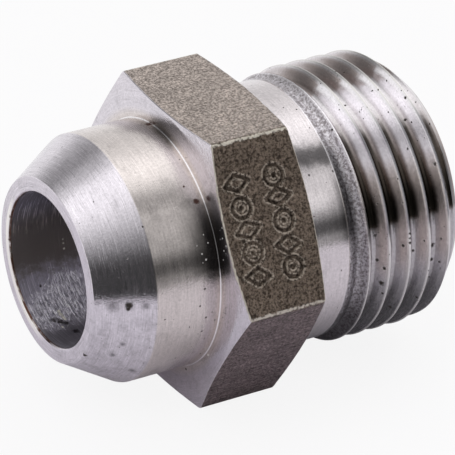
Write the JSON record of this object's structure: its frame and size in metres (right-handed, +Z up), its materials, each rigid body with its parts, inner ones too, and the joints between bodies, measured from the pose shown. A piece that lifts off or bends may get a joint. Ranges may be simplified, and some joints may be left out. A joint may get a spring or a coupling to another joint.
{
  "type": "hydraulic tube weld adapter",
  "caption": "Turned steel adapter with a bevelled spigot to weld to a pipe, a spanner hexagon and a threaded stud with a 24 degree cone for hydraulic tube.",
  "frame": {"origin": "on the axis of the flow bore, in the plane of the hexagon's face on the thread side", "axes": "+X along the axis towards the threaded end, +Z up through the middle of the uppermost flat of the hexagon, +Y across two corners of the hexagon"},
  "size_m": [0.0255, 0.022, 0.019],
  "materials": {
    "turned_steel": "turned, bare"
  },
  "bodies": {
    "root": {"adapter_body": "turned_steel"}
  },
  "joints": []
}
